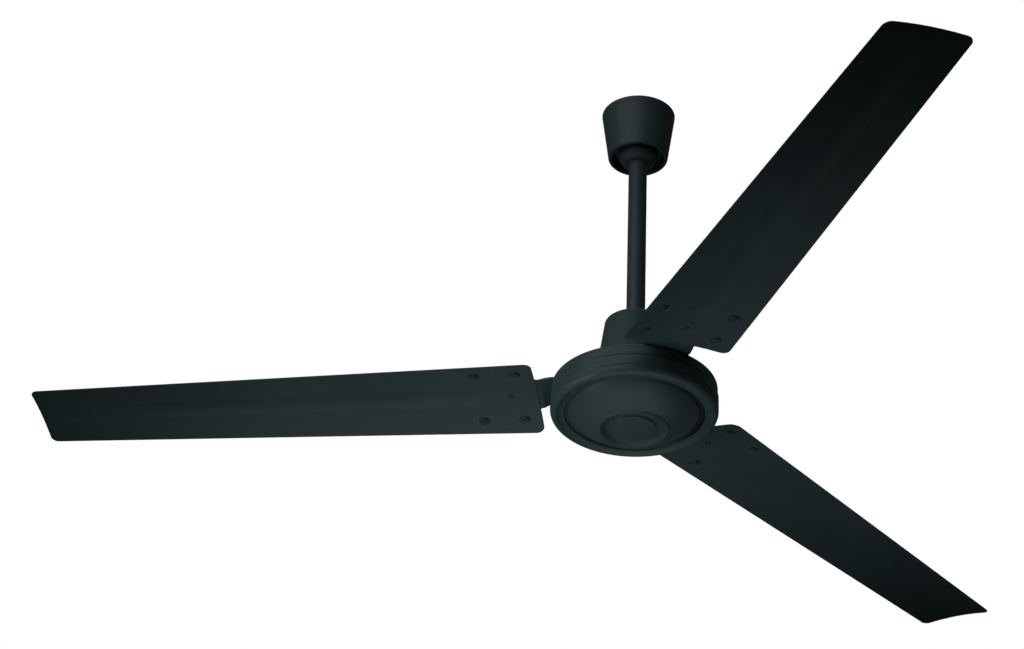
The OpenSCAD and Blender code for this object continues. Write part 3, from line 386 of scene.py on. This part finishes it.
height = math_node(metal, (300, 200), "ADD", lines, grain)
for label, source in (("Colour", tone), ("Roughness", gloss), ("Height", height)):
    metal.links.new(source, result[label])
print("metal group", len(metal.nodes), "nodes")

# %% [markdown]
# ## Finishes
#
# Each finish names two tones that it drifts between, a low and a high roughness, and what sets
# it apart. Bump is a strength and a depth in metres. The enamel is one mix, but the pressed
# blades and arms took it a little thinner than the housing, and the rod a little glossier.

# %% How a finish is made
def finish_material(name, group, look, bump, constants):
    made = bpy.data.materials.new(name)
    made.use_nodes = True
    tree = made.node_tree
    shader = tree.nodes["Principled BSDF"]
    shader.location = (200, 0)
    tree.nodes["Material Output"].location = (500, 0)
    skin = new_node(tree, "ShaderNodeGroup", (-400, 0), node_tree=group)
    relief = new_node(tree, "ShaderNodeBump", (-100, -250))
    settings = ((skin, look), (relief, dict(zip(("Strength", "Distance"), bump))),
                (shader, constants))
    for node, values in settings:
        for label, value in values.items():
            node.inputs[label].default_value = value
    tree.links.new(skin.outputs["Colour"], shader.inputs["Base Color"])
    tree.links.new(skin.outputs["Roughness"], shader.inputs["Roughness"])
    tree.links.new(skin.outputs["Height"], relief.inputs["Height"])
    tree.links.new(relief.outputs["Normal"], shader.inputs["Normal"])
    return made


def paint(name, tones, gloss, peel=900, dust=0.25, bump=(0.12, 0.0004), specular=0.1):
    look = {"Colour": (*tones[0], 1), "Worn Colour": (*tones[1], 1),
            "Gloss Low": gloss[0], "Gloss High": gloss[1], "Peel Scale": peel, "Dust": dust}
    return finish_material(name, enamel, look, bump,
                           {"Metallic": 0.0, "Specular IOR Level": specular})


def bare(name, tones, gloss, blotch, line_scale=1200, lines=0.0, bump=(0.1, 0.0002)):
    look = {"Colour": (*tones[0], 1), "Second Colour": (*tones[1], 1),
            "Gloss Low": gloss[0], "Gloss High": gloss[1],
            "Blotch Scale": blotch, "Line Scale": line_scale, "Lines": lines}
    return finish_material(name, metal, look, bump, {"Metallic": 1.0})


# %% Materials
BLACK = ((0.0165, 0.0282, 0.0295), (0.0205, 0.0335, 0.0345))
THIN_BLACK = ((0.0155, 0.0272, 0.0285), (0.0195, 0.0325, 0.0335))
PAINTS = {
    "housing_paint": {"tones": BLACK, "gloss": (0.34, 0.42)},
    "cap_paint": {"tones": BLACK, "gloss": (0.36, 0.44)},
    "blade_paint": {"tones": THIN_BLACK, "gloss": (0.38, 0.46), "dust": 0.3},
    "arm_paint": {"tones": THIN_BLACK, "gloss": (0.36, 0.44)},
    "rod_paint": {"tones": BLACK, "gloss": (0.32, 0.4)},
    "cup_paint": {"tones": BLACK, "gloss": (0.34, 0.42)},
    "fastener_paint": {"tones": ((0.0125, 0.0215, 0.0225), (0.0155, 0.0255, 0.0265)),
                       "gloss": (0.4, 0.48), "peel": 2000, "specular": 0.06},
    "roller_rubber": {"tones": ((0.012, 0.012, 0.012), (0.03, 0.03, 0.029)),
                      "gloss": (0.7, 0.85), "peel": 1500, "bump": (0.3, 0.0004)},
    "capacitor_case": {"tones": ((0.02, 0.02, 0.023), (0.03, 0.03, 0.034)),
                       "gloss": (0.4, 0.5), "peel": 1800},
    "lead_insulation": {"tones": ((0.32, 0.02, 0.016), (0.38, 0.04, 0.03)),
                        "gloss": (0.4, 0.5), "peel": 2500, "dust": 0.1},
    "connector_nylon": {"tones": ((0.62, 0.6, 0.5), (0.7, 0.67, 0.56)),
                        "gloss": (0.4, 0.55), "peel": 1500, "dust": 0.1},
}
METALS = {
    "zinc_plate": {"tones": ((0.6, 0.61, 0.58), (0.5, 0.51, 0.5)),
                   "gloss": (0.4, 0.52), "blotch": 90},
    "fastener_zinc": {"tones": ((0.62, 0.62, 0.58), (0.52, 0.52, 0.5)),
                      "gloss": (0.34, 0.46), "blotch": 300},
    "machined_steel": {"tones": ((0.56, 0.57, 0.58), (0.48, 0.49, 0.5)),
                       "gloss": (0.2, 0.32), "blotch": 160, "line_scale": 14000, "lines": 0.8},
    "ball_steel": {"tones": ((0.72, 0.73, 0.74), (0.7, 0.7, 0.72)),
                   "gloss": (0.06, 0.1), "blotch": 300, "bump": (0.02, 0.0001)},
    "cage_brass": {"tones": ((0.6, 0.43, 0.17), (0.5, 0.35, 0.13)),
                   "gloss": (0.25, 0.4), "blotch": 260},
    "lamination": {"tones": ((0.24, 0.245, 0.26), (0.16, 0.165, 0.18)),
                   "gloss": (0.35, 0.5), "blotch": 220, "line_scale": 12566, "lines": 1.0,
                   "bump": (0.4, 0.0003)},
    "coil_enamel": {"tones": ((0.42, 0.13, 0.05), (0.55, 0.2, 0.08)),
                    "gloss": (0.22, 0.35), "blotch": 400, "line_scale": 9000, "lines": 1.0,
                    "bump": (0.6, 0.0004)},
}
FINISH = {name: paint(name, **look) for name, look in PAINTS.items()}
FINISH.update({name: bare(name, **look) for name, look in METALS.items()})
print("finishes", len(FINISH))

# %% [markdown]
# ## Painted shade in the motor's groove
#
# A groove runs round the dome, inside the raised ring. Its paint is darkened there as painted
# shade, nearly black on the right and faint on the left, where the light comes from. A painted
# mask could mark it, but the groove is round and centred on the fan's axis, so the distance from
# the axis and the height find it exactly.

# %% Painted shade in the groove
GROOVE_INSIDE = (0.0725, 0.0765)
GROOVE_OUTSIDE = (0.0809, 0.0816)
GROOVE_MOUTH = (-0.4312, -0.4296)
SHELL_INSIDE = (-0.4245, -0.4235)
# The painted shade is strongest towards this side and falls to a tenth on the lit side.
PAINTED_SHADE_SIDE = (0.85, 0.5, 0)
PAINTED_SHADE_FROM = (-0.05, 0.015)
LIT_SIDE_SHARE = 0.1
SHADE_PATCH_SCALE = 60.0
SHADE_PATCHES = (0.3, 0.7, 0.7, 1.0)
# The near-black colour that is painted into the groove as shade.
PAINTED_SHADE_COLOUR = (0.003, 0.0065, 0.0066, 1)


# Mixes painted shade into the paint's colour in the groove, strongest on the right side.
def add_groove_painted_shade(material):
    tree = material.node_tree
    base = tree.nodes["Principled BSDF"].inputs["Base Color"]
    paint_colour = base.links[0].from_socket
    where = new_node(tree, "ShaderNodeTexCoord", (-1300, 500)).outputs["Object"]
    axes = split_axes(tree, (-1100, 500), where)
    flat = new_node(tree, "ShaderNodeCombineXYZ", (-1100, 650))
    for axis in "XY":
        tree.links.new(axes[axis], flat.inputs[axis])
    reach = new_node(tree, "ShaderNodeVectorMath", (-900, 650), operation="LENGTH")
    tree.links.new(flat.outputs["Vector"], reach.inputs[0])
    reach = reach.outputs["Value"]
    toward = dot_node(tree, (-900, 100), where, PAINTED_SHADE_SIDE)
    shade_patches = noise_node(tree, (-900, 350), where, SHADE_PATCH_SCALE, detail=3.0)
    masks = (range_node(tree, (-700, 750), reach, *GROOVE_INSIDE),
             range_node(tree, (-700, 600), reach, *GROOVE_OUTSIDE, 1.0, 0.0),
             range_node(tree, (-700, 450), axes["Z"], *GROOVE_MOUTH),
             range_node(tree, (-700, 250), axes["Z"], *SHELL_INSIDE, 1.0, 0.0),
             range_node(tree, (-700, -50), toward, *PAINTED_SHADE_FROM, LIT_SIDE_SHARE, 1.0),
             range_node(tree, (-700, 100), shade_patches, *SHADE_PATCHES))
    share = multiply_all(tree, (-500, 500), masks)
    tree.links.new(mix_colour(tree, (0, 150), share, paint_colour, PAINTED_SHADE_COLOUR), base)
    print(material.name, "has", len(tree.nodes), "nodes")


add_groove_painted_shade(FINISH["housing_paint"])

# %% [markdown]
# ## Finishes on the CAD's pieces
#
# The record names a material slot for each node, and each slot has the finish of the same name.

# %% Finishes on the carried nodes
slot_of = {part["node"]: part["material_slot"] for part in frame["record"]["subparts"]}
for name, piece in NODES.items():
    made = FINISH[slot_of[name]]
    if not piece.material_slots:
        piece.data.materials.append(made)
    for holder in piece.material_slots:
        holder.material = made
print("painted nodes", len(NODES))

# %% [markdown]
# ## Screws
#
# Each blade hangs on four pan-head machine screws that come up through it, its arm, a washer
# and a nut, and six more hold the two housing shells together. The CAD has them as smooth studs.
# The real ones have a cross recess in the head and a rolled thread, so each kind is turned from a
# cylinder here: its face is bevelled to a pan, its back is inset and drawn out into the shank ring
# by ring, and a cross is cut into the face. The others are copies, each with its own mesh and
# turned a little, because no two screws stop at the same angle.

# %% Turn the blank
# A face counts as up or down when its normal is nearly upright. The pan is a share of the head's
# height, and the thread's root a share of the shank's radius.
SCREW_SIDES = 40
FLAT_ENOUGH = 0.9
PAN_SHARE = 0.6
PAN_STEPS = 6
THREAD_PITCH = 0.0008
THREAD_ROOT = 0.86


def pick_faces(piece, wanted):
    """Leaves only the faces that pass the test selected, in edit mode."""
    bpy.ops.object.mode_set(mode="EDIT")
    bpy.ops.mesh.select_mode(type="FACE")
    bpy.ops.mesh.select_all(action="DESELECT")
    sheet = bmesh.from_edit_mesh(piece.data)
    for face in sheet.faces:
        face.select_set(wanted(face))
    bmesh.update_edit_mesh(piece.data)


def faces_down(face):
    return face.normal.z < -FLAT_ENOUGH


def faces_up(face):
    return face.normal.z > FLAT_ENOUGH


def turn_blank(name, head, shank, seat):
    """A screw without its recess, head down: head and shank are a radius and a length."""
    start_clean()
    bpy.ops.mesh.primitive_cylinder_add(vertices=SCREW_SIDES, radius=head[0], depth=head[1],
                                        location=(0, 0, seat - head[1] / 2))
    screw = bpy.context.object
    screw.name = name
    bpy.ops.object.transform_apply(location=True)
    pick_faces(screw, faces_down)
    bpy.ops.mesh.bevel(offset=head[1] * PAN_SHARE, segments=PAN_STEPS, profile=0.5,
                       affect="EDGES")
    pick_faces(screw, faces_up)
    bpy.ops.mesh.inset(thickness=head[0] - shank[0])
    rings = 2 * int(shank[1] / THREAD_PITCH)
    step = (0, 0, shank[1] / rings)
    for ring in range(rings):
        bpy.ops.mesh.extrude_region_move(TRANSFORM_OT_translate={"value": step})
        grow = 1 / THREAD_ROOT if ring % 2 else THREAD_ROOT
        bpy.ops.transform.resize(value=(grow, grow, 1), center_override=(0, 0, 0))
    bpy.ops.object.mode_set(mode="OBJECT")
    return screw


# %% Cut the cross
# Width and thickness are shares of the head's diameter, and depth is a share of its height.
CROSS_WIDE = 0.52
CROSS_THICK = 0.11
CROSS_DEEP = 0.6
CROSS_TAPER = 0.45
WELD_DISTANCE = 0.000001


def tapered_wing(head, seat, turn):
    """One arm of the cross: a bar through the head's face that narrows towards the shank."""
    start_clean()
    bpy.ops.mesh.primitive_cube_add(size=1, location=(0, 0, seat - head[1]))
    wing = bpy.context.object
    wing.scale = (CROSS_WIDE * 2 * head[0], CROSS_THICK * 2 * head[0], CROSS_DEEP * 2 * head[1])
    wing.rotation_euler = (0, 0, turn)
    bpy.ops.object.transform_apply(scale=True, rotation=True, location=True)
    pick_faces(wing, faces_up)
    bpy.ops.transform.resize(value=(CROSS_TAPER, CROSS_TAPER, 1), center_override=(0, 0, 0))
    bpy.ops.object.mode_set(mode="OBJECT")
    return wing


def cut_cross(screw, head, seat):
    wings = [tapered_wing(head, seat, turn) for turn in (0, math.radians(90))]
    start_clean()
    screw.select_set(True)
    bpy.context.view_layer.objects.active = screw
    for wing in wings:
        cut = screw.modifiers.new("cross", "BOOLEAN")
        cut.operation = "DIFFERENCE"
        cut.solver = "EXACT"
        cut.object = wing
        bpy.ops.object.modifier_apply(modifier=cut.name)
        bpy.data.objects.remove(wing, do_unlink=True)
    bpy.ops.object.mode_set(mode="EDIT")
    bpy.ops.mesh.select_all(action="SELECT")
    bpy.ops.mesh.remove_doubles(threshold=WELD_DISTANCE)
    bpy.ops.mesh.normals_make_consistent(inside=False)
    start_clean()


# %% Copy a screw to its places
TURN_EACH = math.radians(37)
SMOOTH_BELOW = math.radians(35)


def corners(points):
    return [[round(pick(p[axis] for p in points), 4) for axis in range(3)] for pick in (min, max)]


def set_screws(screw, places, body, node):
    """Copies a screw to its places, joins the copies and lets them stand for a CAD node."""
    name = screw.name
    copies = []
    for number, place in enumerate(places):
        mesh = screw.data.copy()
        mesh.transform(place @ Matrix.Rotation(TURN_EACH * number, 4, "Z"))
        made = bpy.data.objects.new("copy", mesh)
        bpy.context.scene.collection.objects.link(made)
        copies.append(made)
    bpy.data.objects.remove(screw, do_unlink=True)
    start_clean()
    for made in copies:
        made.select_set(True)
    bpy.context.view_layer.objects.active = copies[0]
    bpy.ops.object.join()
    whole = bpy.context.object
    whole.name = name
    bpy.ops.object.shade_smooth_by_angle(angle=SMOOTH_BELOW)
    start_clean()
    whole.data.materials.clear()
    whole.data.materials.append(FINISH[slot_of[node]])
    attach(whole, body)
    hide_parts(node)
    print(name, "faces", len(whole.data.polygons), "CAD box", corners(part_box(node)),
          "box", corners([v.co for v in whole.data.vertices]))


def make_screws(name, size, places, node):
    screw = turn_blank(name, **size)
    cut_cross(screw, size["head"], size["seat"])
    set_screws(screw, places, "rotor", node)


# %% Blade screws
CROWN_HEIGHT = -0.398275
BLADE_CONE = math.radians(0.7)
BLADE_PITCH = math.radians(6)
CAMBER_RADIUS = 0.350
BLADE_ANGLES = (60, 180, 300)
SCREW_ALONG = (0.133, 0.181)
SCREW_ACROSS = (-0.0425, 0.0425)
BLADE_SCREW = {"head": (0.0044, 0.0024), "shank": (0.0025, 0.0091), "seat": 0.0006}


def on_blade(angle, along, across):
    """The place and turn of a spot on a blade's cambered sheet."""
    blade = Matrix.Rotation(math.radians(angle), 4, "Z") @ Matrix.Translation((0, 0, CROWN_HEIGHT))
    blade = blade @ Matrix.Rotation(-BLADE_CONE, 4, "Y") @ Matrix.Rotation(BLADE_PITCH, 4, "X")
    lean = Matrix.Rotation(-math.asin(across / CAMBER_RADIUS), 4, "X")
    return (blade @ Matrix.Translation((along, 0, -CAMBER_RADIUS)) @ lean
            @ Matrix.Translation((0, 0, CAMBER_RADIUS)))


blade_places = [on_blade(angle, along, across) for angle in BLADE_ANGLES
                for along in SCREW_ALONG for across in SCREW_ACROSS]
make_screws("blade_screw_set", BLADE_SCREW, blade_places, "blade_screws")

# %% Housing screws
LAND_HEIGHT = -0.3937
SCREW_CIRCLE = 0.0858
HOUSING_SCREW_ANGLES = (-18, 18, 102, 138, 222, 258)
HOUSING_SCREW = {"head": (0.0037, 0.0024), "shank": (0.002, 0.030), "seat": 0.0}


def on_land(angle):
    """A place on the upper shell's flat land, for a screw that points down."""
    return (Matrix.Rotation(math.radians(angle), 4, "Z")
            @ Matrix.Translation((SCREW_CIRCLE, 0, LAND_HEIGHT)) @ Matrix.Rotation(math.pi, 4, "X"))


land_places = [on_land(angle) for angle in HOUSING_SCREW_ANGLES]
make_screws("housing_screw_set", HOUSING_SCREW, land_places, "housing_screws")

# %% [markdown]
# ## The picture's colours
#
# The colours go to the picture as they are, with no film look over them.

# %% Colour view
bpy.context.scene.view_settings.view_transform = "Standard"
